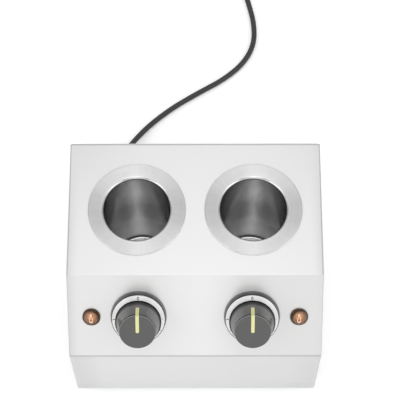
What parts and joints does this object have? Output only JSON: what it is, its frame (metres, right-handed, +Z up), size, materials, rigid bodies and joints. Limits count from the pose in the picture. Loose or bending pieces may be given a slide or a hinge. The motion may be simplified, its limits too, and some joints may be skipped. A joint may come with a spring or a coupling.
{
  "type": "countertop topping warmer",
  "caption": "Brushed stainless countertop topping warmer with round wells in the top, knobs and pilot lamps on a sloped panel, and a mains lead.",
  "frame": {"origin": "centre of the footprint of the object without its cord, on the surface that the feet stand on", "axes": "+X to the user's right, +Y to the rear, +Z up; the sloped control panel faces -Y"},
  "size_m": [0.2655, 0.615, 0.2041],
  "materials": {
    "brushed_stainless": "straight-brushed stainless sheet",
    "spun_stainless": "spun stainless with circular brushing on the flange and drawn marks down the tube",
    "zinc_steel": "zinc-plated steel",
    "heater_steel": "dull mica-band heater sheath",
    "insulation_felt": "ceramic fibre felt",
    "phenolic": "dark phenolic moulding",
    "copper_tube": "drawn copper",
    "bezel_black": "black moulded plastic",
    "scale_silver": "pale silver finish with dark scale marks",
    "knob_grey": "fine-grained dark grey moulding",
    "pointer_lime": "lime-yellow inlay",
    "lens_amber": "amber polycarbonate",
    "bulb_glass": "clear glass neon bulb",
    "foot_rubber": "black rubber",
    "wire_black": "insulated wire",
    "wire_blue": "insulated wire",
    "wire_brown": "insulated wire",
    "wire_green": "insulated wire",
    "terminal_white": "white terminal block",
    "cord_rubber": "black flexible cord sheath",
    "pin_brass": "nickel-plated brass"
  },
  "bodies": {
    "housing": {"housing_shell": "brushed_stainless", "rear_panel": "brushed_stainless", "rear_panel_screws": "zinc_steel", "base_plate": "zinc_steel", "base_plate_screws": "zinc_steel", "front_left_foot": "foot_rubber", "rear_left_foot": "foot_rubber", "front_right_foot": "foot_rubber", "rear_right_foot": "foot_rubber", "foot_screws": "zinc_steel", "left_well_cup": "spun_stainless", "left_well_retaining_ring": "zinc_steel", "left_heater_band": "heater_steel", "left_heater_clamp_screw": "zinc_steel", "left_insulation_jacket": "insulation_felt", "left_thermal_cutout": "phenolic", "left_thermostat_body": "phenolic", "left_dial_bezel": "bezel_black", "left_dial_scale_ring": "scale_silver", "left_lamp_lens": "lens_amber", "left_lamp_clip": "zinc_steel", "left_lamp_holder": "phenolic", "left_neon_bulb": "bulb_glass", "left_capillary_bulb": "copper_tube", "right_well_cup": "spun_stainless", "right_well_retaining_ring": "zinc_steel", "right_heater_band": "heater_steel", "right_heater_clamp_screw": "zinc_steel", "right_insulation_jacket": "insulation_felt", "right_thermal_cutout": "phenolic", "right_thermostat_body": "phenolic", "right_dial_bezel": "bezel_black", "right_dial_scale_ring": "scale_silver", "right_lamp_lens": "lens_amber", "right_lamp_clip": "zinc_steel", "right_lamp_holder": "phenolic", "right_neon_bulb": "bulb_glass", "right_capillary_bulb": "copper_tube", "thermostat_screws": "zinc_steel", "live_leads": "wire_black", "heater_leads": "wire_brown", "neutral_leads": "wire_blue", "lamp_leads": "wire_black", "terminal_block": "terminal_white", "terminal_screws": "zinc_steel", "earth_stud": "zinc_steel", "earth_lead": "wire_green", "supply_wires": "wire_black", "strain_relief": "cord_rubber", "power_cord": "cord_rubber", "cord_coil": "cord_rubber", "mains_plug": "cord_rubber", "plug_pins": "pin_brass", "plug_earth_contacts": "pin_brass"},
    "left_control": {"left_knob": "knob_grey", "left_knob_pointer": "pointer_lime", "left_thermostat_shaft": "zinc_steel"},
    "right_control": {"right_knob": "knob_grey", "right_knob_pointer": "pointer_lime", "right_thermostat_shaft": "zinc_steel"}
  },
  "joints": [
    {"name": "left_knob_turn", "type": "hinge", "parent": "housing", "child": "left_control", "pos_m": [-0.0588, -0.07344, 0.16596], "axis": [0, 0.7071, -0.7071], "range_deg": [0, 270]},
    {"name": "right_knob_turn", "type": "hinge", "parent": "housing", "child": "right_control", "pos_m": [0.0588, -0.07344, 0.16596], "axis": [0, 0.7071, -0.7071], "range_deg": [0, 270]}
  ]
}
